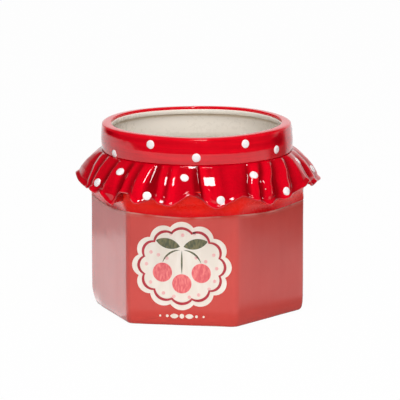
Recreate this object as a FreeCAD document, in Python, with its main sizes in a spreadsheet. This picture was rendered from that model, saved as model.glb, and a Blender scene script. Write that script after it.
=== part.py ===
"""Cachepot of glazed earthenware: a hexagonal jar whose mouth wears a gathered, dotted frill.

Lengths are in millimetres. +Z is up, the origin is the centre of the foot and the labelled flat faces -Y.
The jar, the shoulder, the frill and the rim band are cast rings, luted together on spigots and seats.
Angles round the pot are in degrees from the front, growing towards +X.
"""
import FreeCAD, Part
import math
import os

from FreeCAD import Placement, Rotation, Vector

doc = FreeCAD.newDocument("cachepot")
sheet = doc.addObject("Spreadsheet::Sheet", "sizes")

# Driving dimensions: name, millimetres, what it measures.
SIZES = (
    ("across_flats", 120.0, "hexagonal jar, flat to flat"),
    ("body_height", 71.0, "foot to the line where the shoulder begins"),
    ("wall", 5.6, "cast wall of jar and shoulder"),
    ("floor_thick", 7.0, "floor, from the foot ring's plane"),
    ("corner_radius", 5.0, "upright outer edges of the jar"),
    ("base_round", 2.6, "outer edge of the foot"),
    ("inner_corner_radius", 8.0, "upright edges inside the jar"),
    ("floor_round", 3.5, "edge between floor and wall inside"),
    ("foot_ring", 9.0, "width of the foot ring that the pot stands on"),
    ("foot_recess", 1.6, "depth of the recess inside the foot ring"),
    ("spigot_height", 2.4, "height of the luting spigots"),
    ("spigot_wall", 2.4, "thickness of the luting spigots"),
    ("shoulder_height", 17.0, "flare from the jar up to the frill's seat"),
    ("shoulder_flare", 13.4, "how far the frill's seat stands out past the jar's flats"),
    ("frill_height", 14.7, "frill from its seat up to the neck"),
    ("frill_thick", 2.2, "frill where it stands proud of the shoulder"),
    ("fold_height", 2.1, "ridges and valleys of the frill, either way from its mean"),
    ("hem_clear", 6.2, "longest tongue of the hem, above the jar"),
    ("mouth_radius", 54.2, "clear mouth inside the glazed lip"),
    ("lip_thick", 6.5, "lip, from its bore to the band's outside"),
    ("lip_depth", 4.2, "lip, from its top to the undercut"),
    ("undercut", 1.6, "how far the band's bore is wider than the lip's"),
    ("band_height", 17.5, "rim band with its lip"),
    ("band_overhang", 1.2, "how far the band stands out over the frill's neck"),
    ("lip_round_outer", 2.2, "lip's outer edge"),
    ("lip_round_inner", 1.0, "lip's inner edge"),
    ("band_foot_round", 0.9, "lower outer edge of the band"),
    ("glaze_thick", 0.4, "coat of glaze inside"),
    ("dot_radius", 2.6, "enamel dots"),
    ("dot_rise", 0.9, "enamel dots, above the surface"),
    ("dot_round", 0.8, "rounded edge of the enamel dots"),
    ("label_side_gap", 3.1, "label to the sharp corners of its flat"),
    ("label_top_gap", 4.2, "label to the shoulder"),
    ("label_foot_gap", 10.4, "label to the foot"),
    ("print_thick", 0.15, "each fired layer of the label"),
    ("border_inset", 3.3, "cream margin outside the border line"),
    ("border_line", 1.7, "width of the border line"),
    ("berry_radius", 6.1, "round berries of the label"),
    ("leaf_swell", 3.2, "half a leaf's width"),
    ("stem_line", 1.1, "berry stems"),
    ("spot_radius", 1.1, "pale spots of the label"),
    ("ornament_width", 30.0, "ornament under the label"),
    ("ornament_bead", 1.5, "radius of its middle bead"),
)
for row, (alias, length, meaning) in enumerate(SIZES, start=1):
    sheet.set(f"A{row}", meaning)
    sheet.set(f"B{row}", str(length))
    sheet.setAlias(f"B{row}", alias)
doc.recompute()

# Levels and radii that follow from the sizes, as expressions that features can be bound to.
HALF_FLATS = "sizes.across_flats / 2"
INNER_FLATS = "sizes.across_flats / 2 - sizes.wall"
SPIGOT_FLATS = "sizes.across_flats / 2 - sizes.wall + sizes.spigot_wall"
SHOULDER_RADIUS = "(sizes.across_flats / 2 + sizes.shoulder_flare)"
SEAT = "(sizes.body_height + sizes.shoulder_height)"
NECK = "(sizes.body_height + sizes.shoulder_height + sizes.frill_height)"
RIM = "(sizes.body_height + sizes.shoulder_height + sizes.frill_height + sizes.band_height)"
LIP_BORE = "(sizes.mouth_radius + sizes.glaze_thick)"
BAND_BORE = "(sizes.mouth_radius + sizes.glaze_thick + sizes.undercut)"
BAND_RADIUS = "(sizes.mouth_radius + sizes.glaze_thick + sizes.lip_thick)"
# A flat's share of the turn round the pot, and the gap under which two points are one.
FLAT_DEGREES = 60
TOUCH = 1e-6


def number(expression):
    """The value of an expression in the sheet's sizes."""
    return float(sheet.evalExpression(expression))


def around(angle, radius, level):
    """The point at an angle round the pot, a distance from its axis and a height."""
    turn = math.radians(angle)
    return Vector(radius * math.sin(turn), -radius * math.cos(turn), level)


def attach(feature, body, level):
    """Sit a primitive of a body on its XY plane, at a level."""
    plane = next(item for item in body.Origin.OriginFeatures if item.Role == "XY_Plane")
    feature.AttachmentSupport = [(plane, "")]
    feature.MapMode = "FlatFace"
    feature.setExpression("AttachmentOffset.Base.z", level)
    doc.recompute()


def hexagon(body, kind, name, half_flats, level, height):
    """Add or subtract a hexagonal prism with corners on the X axis."""
    prism = body.newObject(f"PartDesign::{kind}Prism", name)
    prism.Polygon = 6
    prism.setExpression("Circumradius", f"({half_flats}) / cos(30 deg)")
    prism.setExpression("Height", height)
    attach(prism, body, level)


def drum(body, kind, name, radius, level, height):
    """Add or subtract a cylinder about the pot's axis."""
    cylinder = body.newObject(f"PartDesign::{kind}Cylinder", name)
    cylinder.setExpression("Radius", radius)
    cylinder.setExpression("Height", height)
    attach(cylinder, body, level)


def round_edges(body, name, radius, chosen):
    """Fillet those edges of a body that the test picks."""
    base = body.Tip
    edges = [f"Edge{index}" for index, edge in enumerate(base.Shape.Edges, start=1) if chosen(edge)]
    fillet = body.newObject("PartDesign::Fillet", name)
    fillet.Base = (base, edges)
    fillet.setExpression("Radius", radius)
    doc.recompute()


def upright(edge):
    """Whether an edge is a straight one along Z."""
    return isinstance(edge.Curve, Part.Line) and abs(edge.tangentAt(edge.FirstParameter).z) > 0.99


def level_at(level):
    """A test for edges that lie in the plane at a level."""
    height = number(level)
    return lambda edge: all(math.isclose(vertex.Z, height, abs_tol=TOUCH) for vertex in edge.Vertexes)


def circle_at(level, radius):
    """A test for the circle of a radius in the plane at a level."""
    in_plane = level_at(level)
    size = number(radius)

    def chosen(edge):
        is_circle = isinstance(edge.Curve, Part.Circle)
        return is_circle and in_plane(edge) and math.isclose(edge.Curve.Radius, size, abs_tol=TOUCH)

    return chosen


def cut(name, base, *tools):
    """A base less its tools."""
    for index, tool in enumerate(tools, start=1):
        last = index == len(tools)
        result = doc.addObject("Part::Cut", name if last else f"{name}_cut{index}")
        result.Base = base
        result.Tool = tool
        base = result
    doc.recompute()
    return base


def fuse(name, *pieces):
    """Pieces joined to one solid."""
    result = doc.addObject("Part::MultiFuse", name)
    result.Shapes = list(pieces)
    result.Refine = True
    doc.recompute()
    return result


def formed(name, shape):
    """A sculpted or grouped shape as an object of its own."""
    feature = doc.addObject("Part::Feature", name)
    feature.Shape = shape
    feature.Placement = Placement()
    return feature


# Shoulder: the flare between the jar's hexagon and the frill's round seat, and the same form inside.

def hexagon_to_circle(half_flats, corner_radius, low, circle_radius, high):
    """A solid flare from a hexagon with rounded corners up to a circle, straight in between."""

    def lifted(point):
        outward = Vector(point.x, point.y, 0)
        return outward.normalize() * circle_radius + Vector(0, 0, high)

    corners = []
    half_turn = FLAT_DEGREES / 2
    for flat in range(6):
        turn = flat * FLAT_DEGREES + half_turn
        centre = around(turn, (half_flats - corner_radius) / math.cos(math.radians(half_turn)), low)
        corners.append([centre + around(turn + side, corner_radius, 0) for side in (-half_turn, 0, half_turn)])
    lower, upper = [], []
    for corner, following in zip(corners, corners[1:] + corners[:1]):
        flat = [corner[2], (corner[2] + following[0]) / 2, following[0]]
        lower += [Part.Arc(*corner).toShape(), Part.LineSegment(flat[0], flat[2]).toShape()]
        upper += [Part.Arc(*map(lifted, points)).toShape() for points in (corner, flat)]
    return Part.makeLoft([Part.Wire(lower), Part.Wire(upper)], True, True)


shoulder_blank = formed("shoulder_blank", hexagon_to_circle(
    number(HALF_FLATS), number("sizes.corner_radius"), number("sizes.body_height"),
    number(SHOULDER_RADIUS), number(SEAT)))


# Inside: well, flare, frill's cone, neck and lip, drawn in by the coat's thickness for the glazed face.

def hollow(name, inset, top):
    """The pot's inside up to a level, drawn in all round by an inset."""
    well = doc.addObject("PartDesign::Body", f"{name}_well")
    hexagon(well, "Additive", f"{name}_well_prism", f"{INNER_FLATS} - {inset}",
            f"sizes.floor_thick + {inset}", f"sizes.body_height - sizes.floor_thick - {inset}")
    round_edges(well, f"{name}_well_corners", f"sizes.inner_corner_radius - {inset}", upright)
    round_edges(well, f"{name}_well_floor", f"sizes.floor_round - {inset}",
                level_at(f"sizes.floor_thick + {inset}"))
    flare = formed(f"{name}_flare", hexagon_to_circle(
        number(f"{INNER_FLATS} - {inset}"), number(f"sizes.inner_corner_radius - {inset}"),
        number("sizes.body_height"), number(f"{SHOULDER_RADIUS} - sizes.wall - {inset}"), number(SEAT)))
    cone = doc.addObject("Part::Cone", f"{name}_cone")
    cone.setExpression("Radius1", f"{SHOULDER_RADIUS} - sizes.wall - {inset}")
    cone.setExpression("Radius2", f"{BAND_BORE} - {inset}")
    cone.setExpression("Height", "sizes.frill_height - sizes.wall / 2")
    cone.setExpression("Placement.Base.z", SEAT)
    neck = doc.addObject("Part::Cylinder", f"{name}_neck")
    neck.setExpression("Radius", f"{BAND_BORE} - {inset}")
    neck.setExpression("Height", f"sizes.band_height - sizes.lip_depth + sizes.wall / 2 - {inset}")
    neck.setExpression("Placement.Base.z", f"{NECK} - sizes.wall / 2")
    lip = doc.addObject("Part::Cylinder", f"{name}_lip")
    lip.setExpression("Radius", f"{LIP_BORE} - {inset}")
    lip.setExpression("Height", f"{top} - {RIM} + sizes.lip_depth + {inset}")
    lip.setExpression("Placement.Base.z", f"{RIM} - sizes.lip_depth - {inset}")
    return fuse(name, well, flare, cone, neck, lip)


inside = hollow("inside", "0", f"({RIM} - sizes.lip_round_inner)")
glazed_inside = hollow("glazed_inside", "sizes.glaze_thick", RIM)


# Jar body: wall, floor, foot ring and the spigot that the shoulder is luted on to.

jar_blank = doc.addObject("PartDesign::Body", "jar_blank")
hexagon(jar_blank, "Additive", "jar_prism", HALF_FLATS, "0", "sizes.body_height")
round_edges(jar_blank, "jar_corners", "sizes.corner_radius", upright)
round_edges(jar_blank, "jar_base", "sizes.base_round", level_at("0"))
hexagon(jar_blank, "Subtractive", "foot_recess", f"{HALF_FLATS} - sizes.foot_ring", "0",
        "sizes.foot_recess")
spigot = doc.addObject("PartDesign::Body", "spigot")
hexagon(spigot, "Additive", "spigot_prism", SPIGOT_FLATS, "sizes.body_height - sizes.spigot_height",
        "sizes.spigot_height * 2")
round_edges(spigot, "spigot_corners", "sizes.corner_radius", upright)
jar_body = cut("jar_body", fuse("jar_with_spigot", jar_blank, spigot), inside)
shoulder = cut("shoulder", shoulder_blank, spigot, inside)


# Frill: a ring of gathers, each a ridge with a drooping tongue and a valley with an arch in the hem.
# One row for each gather: ridge's angle, its swell share and its hang share, then the valley's.
# Swell is a share of fold_height, and hang a share of the longest tongue's drop below the seat.
GATHER_SHARES = (
    (-72, 1.0, 0.35, -57.5, 0.3, 0.50),
    (-51, 0.8, 0.55, -44.5, 0.5, 0.42),
    (-37.5, 0.9, 1.00, -31.5, 0.7, 0.30),
    (-19, 0.9, 0.75, -12, 0.4, 0.44),
    (-5, 0.8, 0.76, 6, 0.9, 0.15),
    (17, 1.0, 0.95, 31.5, 0.5, 0.32),
    (39, 0.8, 0.66, 42, 0.7, 0.62),
    (45, 0.9, 0.97, 51.4, 0.8, 0.68),
    (56, 1.0, 0.78, 63, 0.5, 0.53),
    (71, 0.9, 0.30, 80.7, 0.2, 0.50),
    (87, 0.7, 0.42, 91.5, 0.1, 0.46),
    (99, 1.0, 0.50, 107, 0.8, 0.24),
    (114, 0.9, 0.90, 121, 0.8, 0.36),
    (130, 1.0, 0.83, 136, 0.7, 0.60),
    (142, 0.8, 0.95, 152, 0.9, 0.19),
    (163, 0.9, 0.83, 170, 0.7, 0.48),
    (178, 1.0, 0.96, 187, 0.9, 0.24),
    (196, 0.9, 0.80, 202, 0.6, 0.60),
    (208, 0.8, 1.00, 217, 0.8, 0.30),
    (227, 1.0, 0.87, 234, 0.8, 0.54),
    (241, 0.9, 0.78, 251, 0.9, 0.24),
    (261, 0.9, 0.93, 270, 0.8, 0.31),
)
# Rings of the frill between neck and edge: how far down its slope, and how much of the fold shows there.
SLOPE_SHARES = ((0.35, 0.75), (0.70, 1.0), (1.0, 0.9))
TUCK_SHARE = 0.2
EMBED_SHARE = 0.5
CORE_HANG_SHARE = 0.5

half_flats = number(HALF_FLATS)
body_height = number("sizes.body_height")
shoulder_height = number("sizes.shoulder_height")
shoulder_radius = number(SHOULDER_RADIUS)
frill_thick = number("sizes.frill_thick")
fold_height = number("sizes.fold_height")
hem_drop = number("sizes.shoulder_height - sizes.hem_clear")
neck_radius = number(f"{BAND_RADIUS} - sizes.band_overhang")
seat_level = number(SEAT)
neck_level = number(NECK)
edge_level = seat_level + frill_thick / 2
edge_radius = shoulder_radius + frill_thick


def shoulder_at(angle, level):
    """Radius of the shoulder at an angle and a level."""
    from_flat = (angle + FLAT_DEGREES / 2) % FLAT_DEGREES - FLAT_DEGREES / 2
    hexagon_radius = half_flats / math.cos(math.radians(from_flat))
    share = (level - body_height) / shoulder_height
    return hexagon_radius + (shoulder_radius - hexagon_radius) * share


def gather_turns():
    """Angle, swell and hang at each ridge and valley, in order round the pot."""
    turns = []
    for ridge, swell, hang, valley, dip, lift in GATHER_SHARES:
        turns += [(ridge, swell, hang), (valley, -dip, lift)]
    return turns


def gathered_ring(place):
    """A closed wire of arcs, one over each ridge and one through each valley."""
    turns = gather_turns()
    last_turn = (turns[-1][0] - 360, *turns[-1][1:])
    first_turn = (turns[0][0] + 360, *turns[0][1:])
    wrapped = [last_turn, *turns, first_turn]
    arcs = []
    for before, here, after in zip(wrapped, wrapped[1:], wrapped[2:]):
        start = [(a + b) / 2 for a, b in zip(before, here)]
        end = [(a + b) / 2 for a, b in zip(here, after)]
        arcs.append(Part.Arc(place(*start), place(*here), place(*end)).toShape())
    return Part.Wire(arcs)


def slope_ring(down_share, fold_share):
    """A ring on the frill's upper slope."""
    mean = neck_radius + (edge_radius - neck_radius) * down_share
    level = neck_level + (edge_level - neck_level) * down_share
    return gathered_ring(lambda angle, swell, hang: around(
        angle, mean + fold_height * fold_share * swell, level))


def hem_level(hang):
    """Level of the hem where it hangs by a share of its drop."""
    return seat_level - hem_drop * hang


def hem_outer(angle, swell, hang):
    """Outer edge of the hem, tucked in towards the shoulder as it hangs."""
    edge = edge_radius + fold_height * SLOPE_SHARES[-1][1] * swell
    tucked = shoulder_at(angle, hem_level(hang)) + frill_thick
    return around(angle, edge + (tucked - edge) * TUCK_SHARE, hem_level(hang))


def hem_inner(angle, swell, hang):
    """Inner edge of the hem, inside the shoulder that it is sculpted on to."""
    embedded = shoulder_at(angle, hem_level(hang)) - number("sizes.wall") * EMBED_SHARE
    return around(angle, embedded, hem_level(hang))


frill_rings = [
    gathered_ring(lambda angle, swell, hang: around(angle, half_flats, hem_level(CORE_HANG_SHARE))),
    gathered_ring(hem_inner),
    gathered_ring(hem_outer),
    slope_ring(*SLOPE_SHARES[2]),
    slope_ring(*SLOPE_SHARES[1]),
    slope_ring(*SLOPE_SHARES[0]),
    gathered_ring(lambda angle, swell, hang: around(angle, neck_radius, neck_level)),
]
frill_blank = formed("frill_blank", Part.makeLoft(frill_rings, True, True))
neck_spigot = doc.addObject("Part::Cylinder", "neck_spigot")
neck_spigot.setExpression("Radius", f"{BAND_BORE} + sizes.spigot_wall")
neck_spigot.setExpression("Height", "sizes.spigot_height")
neck_spigot.setExpression("Placement.Base.z", f"{NECK} - sizes.spigot_height")
frill = cut("frill", frill_blank, shoulder_blank, neck_spigot, inside)


# Rim band: a smooth ring with a thick rounded lip, an undercut below it and a spigot into the frill.

rim_band = doc.addObject("PartDesign::Body", "rim_band")
drum(rim_band, "Additive", "band_ring", BAND_RADIUS, NECK, "sizes.band_height")
round_edges(rim_band, "lip_outer_edge", "sizes.lip_round_outer", level_at(RIM))
round_edges(rim_band, "band_foot_edge", "sizes.band_foot_round", level_at(NECK))
drum(rim_band, "Additive", "band_spigot", f"{BAND_BORE} + sizes.spigot_wall",
     f"{NECK} - sizes.spigot_height", "sizes.spigot_height + sizes.band_height / 2")
drum(rim_band, "Subtractive", "band_bore", BAND_BORE, f"{NECK} - sizes.spigot_height",
     "sizes.band_height - sizes.lip_depth + sizes.spigot_height")
drum(rim_band, "Subtractive", "lip_bore", LIP_BORE, f"{RIM} - sizes.lip_depth", "sizes.lip_depth")
round_edges(rim_band, "lip_inner_edge", "sizes.lip_round_inner", circle_at(RIM, LIP_BORE))


# Inner glaze: one coat over floor, wall, shoulder, neck and the inner face of the lip.

inner_glaze = cut("inner_glaze", inside, glazed_inside)


# Enamel dots: flat drops with a rounded edge on the band and on the frill, all round the pot.
# One row for each dot: its angle and its height as a share of the band or of the frill.
BAND_DOT_SHARES = (
    (-49.7, 0.20), (-19.4, 0.69), (8.7, 0.285), (39.1, 0.70), (64, 0.315), (107, 0.67), (127, 0.27),
    (151, 0.68), (177, 0.31), (204, 0.69), (231, 0.26), (257, 0.66),
)
FRILL_DOT_SHARES = (
    (-47.8, 0.44), (-35.5, 0.77), (-15.3, 0.30), (2.5, 0.745), (20.2, 0.25), (40.2, 0.76), (56.2, 0.30),
    (81.5, 0.83), (94.2, 0.525), (114, 0.345), (131, 0.715), (143, 0.24), (163, 0.61), (179, 0.275),
    (196, 0.69), (209, 0.22), (227, 0.58), (241, 0.29), (253.5, 0.66), (264, 0.345),
)

dot_radius = number("sizes.dot_radius")
dot_rise = number("sizes.dot_rise")
dot_round = number("sizes.dot_round")
band_height = number("sizes.band_height")
band_radius = number(BAND_RADIUS)
hem_tip = hem_level(1)


def enamel_dot(point, outward, faces):
    """A drop with a rounded edge that stands on some faces, at a point of theirs."""
    post = Part.makeCylinder(dot_radius, dot_radius + dot_rise, point - outward * dot_radius, outward)
    rim = max(post.Edges, key=lambda edge: edge.CenterOfMass.dot(outward))
    drop = post.makeFillet(dot_round, [rim])
    near = [face for face in faces if face.BoundBox.intersect(drop.BoundBox)]
    pieces = drop.generalFuse(near)[0].Solids
    return max(pieces, key=lambda piece: piece.CenterOfMass.dot(outward))


def frill_surface(angle, level):
    """Where a line out from the axis leaves the frill, and which way the frill faces there."""
    line = Part.makeLine(Vector(0, 0, level), around(angle, edge_radius + hem_drop, level))
    hits = []
    for face in frill_blank.Shape.Faces:
        if face.BoundBox.intersect(line.BoundBox):
            gap, pairs, _ = face.distToShape(line)
            hits += [(pair[0], face) for pair in pairs if math.isclose(gap, 0, abs_tol=TOUCH)]
    point, face = max(hits, key=lambda hit: hit[0].Length)
    facing = face.normalAt(*face.Surface.parameter(point))
    return point, facing if facing.dot(point) > 0 else -facing


band_face = [Part.makeCylinder(band_radius, band_height, Vector(0, 0, neck_level)).Faces[0]]
band_dots = formed("band_dots", Part.makeCompound([
    enamel_dot(around(angle, band_radius, neck_level + band_height * share), around(angle, 1, 0), band_face)
    for angle, share in BAND_DOT_SHARES]))
frill_dots = formed("frill_dots", Part.makeCompound([
    enamel_dot(*frill_surface(angle, hem_tip + (neck_level - hem_tip) * share), frill_blank.Shape.Faces)
    for angle, share in FRILL_DOT_SHARES]))


# Label: a scalloped cream plate on the front flat, a border line, a sprig of berries and pale spots.

LOBES = 12
NOTCH_SHARE = 0.90
print_thick = number("sizes.print_thick")
label_foot = number("sizes.label_foot_gap")
label_top = number("sizes.body_height - sizes.label_top_gap")
label_middle = (label_foot + label_top) / 2
half_height = (label_top - label_foot) / 2
half_width = half_flats * math.tan(math.radians(FLAT_DEGREES / 2)) - number("sizes.label_side_gap")


def on_front(across, up, layer):
    """A point on the front flat, lifted by a number of printed layers."""
    return Vector(across, -half_flats - print_thick * layer, up)


def scallop(margin, layer):
    """The label's scalloped outline, drawn in by a margin."""

    def point(turn, share):
        width = (half_width - margin) * share
        height = (half_height - margin) * share
        angle = math.radians(360 / LOBES * turn)
        return on_front(width * math.sin(angle), label_middle + height * math.cos(angle), layer)

    arcs = [Part.Arc(point(lobe - 0.5, NOTCH_SHARE), point(lobe, 1), point(lobe + 0.5, NOTCH_SHARE)).toShape()
            for lobe in range(LOBES)]
    return Part.Face(Part.Wire(arcs))


def printed(face):
    """A face of the front flat as a layer of fired colour."""
    return face.extrude(Vector(0, -print_thick, 0))


def blade(start, end, left, right, layer):
    """A leaf or stem between two points of the front, bowed by two offsets to its left."""
    along = Vector(end[0] - start[0], 0, end[1] - start[1])
    aside = Vector(-along.z, 0, along.x).normalize()
    tips = [on_front(*point, layer) for point in (start, end)]
    middle = (tips[0] + tips[1]) / 2
    edges = [Part.Arc(tips[0], middle + aside * left, tips[1]).toShape(),
             Part.Arc(tips[1], middle + aside * right, tips[0]).toShape()]
    return printed(Part.Face(Part.Wire(edges)))


def disc(name, radius, across, up, layer):
    """A round spot of fired colour on the front flat."""
    spot = doc.addObject("Part::Cylinder", name)
    spot.setExpression("Radius", radius)
    spot.setExpression("Height", "sizes.print_thick")
    spot.Placement = Placement(on_front(across, up, layer), Rotation(Vector(1, 0, 0), 90))
    return spot


def group(name, pieces):
    """Separate solids that share one node."""
    compound = doc.addObject("Part::Compound", name)
    compound.Links = pieces
    doc.recompute()
    return compound


border_inset = number("sizes.border_inset")
border_line = number("sizes.border_line")
label_transfer = formed("label_transfer", printed(scallop(0, 0)))
label_border = formed("label_border", printed(
    scallop(border_inset, 1).cut(scallop(border_inset + border_line, 1)).Faces[0]))

# Berries hang from one knot at the top: their places as shares of the label's half width and half height.
BERRY_SHARES = ((-0.39, -0.15), (0.0, -0.40), (0.39, -0.15))
KNOT_SHARE = 0.40
LEAF_TIP_SHARES = (0.52, 0.57)
berry_radius = number("sizes.berry_radius")
leaf_swell = number("sizes.leaf_swell")
stem_line = number("sizes.stem_line")
knot_level = label_middle + half_height * KNOT_SHARE
berry_places = [(half_width * across, label_middle + half_height * up) for across, up in BERRY_SHARES]
label_berries = group("label_berries", [
    disc(f"berry_{index}", "sizes.berry_radius", across, up, 1)
    for index, (across, up) in enumerate(berry_places, start=1)])
blades = []
for side in (-1, 1):
    root = (side * stem_line, knot_level + stem_line)
    tip = (side * half_width * LEAF_TIP_SHARES[0], label_middle + half_height * LEAF_TIP_SHARES[1])
    blades.append(blade(root, tip, leaf_swell, -leaf_swell, 1))
for (across, up), side in zip(berry_places, (-1, 0, 1)):
    bow = side * stem_line * 2
    root = (side * stem_line, knot_level - stem_line)
    blades.append(blade(root, (across, up + berry_radius), bow + stem_line / 2, bow - stem_line / 2, 1))
label_leaves = formed("label_leaves", Part.makeCompound(blades))

# Pale spots: places as shares of the label's half width and half height.
SPOT_SHARES = (
    (-0.62, 0.30), (0.64, 0.27), (-0.71, 0.03), (0.70, -0.03), (-0.63, -0.38), (0.66, -0.32),
    (-0.37, -0.62), (0.34, -0.64), (0.02, 0.70), (-0.30, 0.17), (0.29, 0.20), (-0.47, 0.24),
    (0.48, 0.12), (-0.16, -0.69), (0.15, -0.70), (-0.22, 0.72), (0.25, 0.74), (0.55, -0.50),
)
label_spots = group("label_spots", [
    disc(f"spot_{index}", "sizes.spot_radius", half_width * across, label_middle + half_height * up, 1)
    for index, (across, up) in enumerate(SPOT_SHARES, start=1)])


# Ornament under the label: a bead between two leaves, with smaller beads at the ends.

BEAD_SHARES = ((0.0, 1.0), (-0.62, 0.6), (0.62, 0.6), (-0.92, 0.45), (0.92, 0.45))
ORNAMENT_LEAF_SHARES = (0.14, 0.50)
half_ornament = number("sizes.ornament_width / 2")
ornament_middle = (label_foot + number("sizes.base_round")) / 2
ornament_bead = number("sizes.ornament_bead")
ornament_pieces = [
    disc(f"bead_{index}", f"sizes.ornament_bead * {size_share}", half_ornament * across, ornament_middle, 0)
    for index, (across, size_share) in enumerate(BEAD_SHARES, start=1)]
for side in (-1, 1):
    root, tip = [(side * half_ornament * share, ornament_middle) for share in ORNAMENT_LEAF_SHARES]
    name = f"ornament_leaf_{'left' if side < 0 else 'right'}"
    ornament_pieces.append(formed(name, blade(root, tip, ornament_bead, -ornament_bead, 0)))
caption_ornament = group("caption_ornament", ornament_pieces)


# Check every object, then write one file for each sub-part.

SUB_PARTS = (
    jar_body, shoulder, frill, rim_band, inner_glaze, band_dots, frill_dots, label_transfer,
    label_border, label_berries, label_leaves, label_spots, caption_ornament,
)
doc.recompute()
for item in doc.Objects:
    if "Invalid" in item.State or "Error" in item.State:
        raise RuntimeError(f"{item.Name} failed: {item.State}")
for item in SUB_PARTS:
    if item.Shape.isNull() or not item.Shape.isValid() or not item.Shape.Solids:
        raise RuntimeError(f"{item.Label} has no valid solid")
os.makedirs("parts", exist_ok=True)
for item in SUB_PARTS:
    item.Shape.exportStep(f"parts/{item.Label}.step")
    box = item.Shape.BoundBox
    print(f"{item.Label}: {len(item.Shape.Solids)} solids, {item.Shape.Volume / 1000:.2f} cm3, "
          f"x {box.XMin:.2f} {box.XMax:.2f}, y {box.YMin:.2f} {box.YMax:.2f}, z {box.ZMin:.2f} {box.ZMax:.2f}")
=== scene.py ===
"""A hexagonal jar-shaped cachepot of glazed earthenware, with a gathered, dotted frill under its rim band.

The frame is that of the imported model, in metres: +Z is up, the foot stands on z = 0 and the labelled flat
faces -Y. Sizes of the pot are written in millimetres, and MM turns them into metres. Angles round the pot are
in degrees from the front, growing towards +X.
"""
import bisect
import math

import bmesh
import bpy
from mathutils import Matrix, Vector, noise
from mathutils.bvhtree import BVHTree


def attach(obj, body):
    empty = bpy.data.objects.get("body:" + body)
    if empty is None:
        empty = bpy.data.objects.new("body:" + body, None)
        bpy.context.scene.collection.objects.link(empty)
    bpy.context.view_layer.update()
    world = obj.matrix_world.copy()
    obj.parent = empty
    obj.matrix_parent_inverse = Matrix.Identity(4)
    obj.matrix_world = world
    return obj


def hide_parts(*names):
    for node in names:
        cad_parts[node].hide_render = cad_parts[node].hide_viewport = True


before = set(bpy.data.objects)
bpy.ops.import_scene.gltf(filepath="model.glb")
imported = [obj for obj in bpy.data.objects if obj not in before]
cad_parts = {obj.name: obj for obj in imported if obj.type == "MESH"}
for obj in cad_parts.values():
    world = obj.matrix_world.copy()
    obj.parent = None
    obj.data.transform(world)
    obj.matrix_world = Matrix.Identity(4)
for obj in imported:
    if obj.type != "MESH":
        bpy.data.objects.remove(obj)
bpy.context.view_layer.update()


# Jar: the lower half of the pot, slip-cast in a plaster mould and dipped in a rose glaze. Its flats are
# never quite true, its foot is sponged round and wiped bare before firing, and its wall runs up a little way
# behind the shoulder.
MM = 0.001
JAR_HALF_FLATS = 60.0
JAR_CORNER_ROUND = 5.0
JAR_TOP = 71.0
JAR_EDGE = 69.5
CORNER_LIFT = 2.6
# Half widths across flats and levels of the recess under the foot and the floor inside. What is wider than
# the last is outer wall.
RECESS_FLATS, RECESS_LEVEL = 50.9, 1.6
FLOOR_FLATS, FLOOR_LEVEL = 50.9, 7.0
OUTER_WALL = 57.2
# Rings of the casting from the recess under the foot, over the wall, to the floor inside:
# half the width across flats, level, and how many steps lead there.
JAR_RINGS = (
    (51.0, 0.0, 1), (57.0, 0.0, 2), (58.2, 0.3, 1), (58.9, 1.0, 1), (59.4, 2.4, 1), (59.8, 5.0, 1),
    (60.0, 9.0, 2), (60.0, 68.6, 32), (59.9, 69.05, 1), (59.6, 69.4, 1), (59.1, JAR_EDGE, 1),
    (56.8, 69.6, 1), (56.8, 72.4, 1), (56.4, 72.4, 1), (54.5, 70.2, 1), (54.4, 10.5, 6), (53.4, 8.0, 1),
    (FLOOR_FLATS, FLOOR_LEVEL, 1),
)
# How far the flats swell, the half angle of the labelled flat, which stays true, and the foot's worn corner.
JAR_WAVE = 0.12
TRUE_HALF_ANGLE = 26
WORN_ANGLE = -90
CORNER_WEAR = 1.6
ROSE_DEEP = (0.60, 0.046, 0.034, 1)
ROSE_THIN = (0.66, 0.068, 0.052, 1)
ROSE_EDGE_HIGHLIGHT = (0.82, 0.44, 0.38, 1)
CLAY_DARK = (0.72, 0.60, 0.48, 1)
CLAY_PALE = (0.83, 0.74, 0.63, 1)
GLAZE_SPECK = (0.8, 0.7, 0.62, 1)
GLAZE_RELIEF = 0.35 * MM


def place_at(angle, radius, level):
    """The point at an angle round the pot, a distance from its axis and a height, given in millimetres."""
    turn = math.radians(angle)
    return Vector((radius * math.sin(turn), -radius * math.cos(turn), level)) * MM


def angle_of(point):
    """The angle of a point round the pot."""
    return math.degrees(math.atan2(point.x, -point.y))


def edge_lift(angle):
    """How far the jar's upper edge rises over the middle of a flat, as it swings up to each corner."""
    return CORNER_LIFT * (abs((angle + 30) % 60 - 30) / 30) ** 1.6


def blend(low, high, share):
    """A value or vector between two, eased at both ends."""
    share = min(max(share, 0.0), 1.0)
    return low + (high - low) * (share * share * (3 - 2 * share))


def hexagon_ring(clay, half_flats, corner_round):
    """A ring of edges on the ground: a hexagon with rounded corners on the X axis, and divided flats."""
    bmesh.ops.create_circle(clay, cap_ends=True, segments=6, radius=half_flats / math.cos(math.pi / 6) * MM)
    bmesh.ops.rotate(clay, verts=clay.verts[:], matrix=Matrix.Rotation(math.pi / 6, 3, "Z"))
    bmesh.ops.bevel(clay, geom=clay.verts[:], offset=corner_round * math.tan(math.pi / 6) * MM,
                    affect="VERTICES", segments=8, profile=0.5, material=-1)
    flats = [edge for edge in clay.edges if edge.calc_length() > corner_round * MM]
    bmesh.ops.subdivide_edges(clay, edges=flats, cuts=27)
    return clay.edges[:]


def pull_ring(clay, ring, place):
    """Extrude a ring of edges, and set each new vertex where place() puts the old one."""
    drawn = bmesh.ops.extrude_edge_only(clay, edges=ring)["geom"]
    for vert in drawn:
        if isinstance(vert, bmesh.types.BMVert):
            vert.co = place(vert.co)
    return [edge for edge in drawn if isinstance(edge, bmesh.types.BMEdge)]


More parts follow.
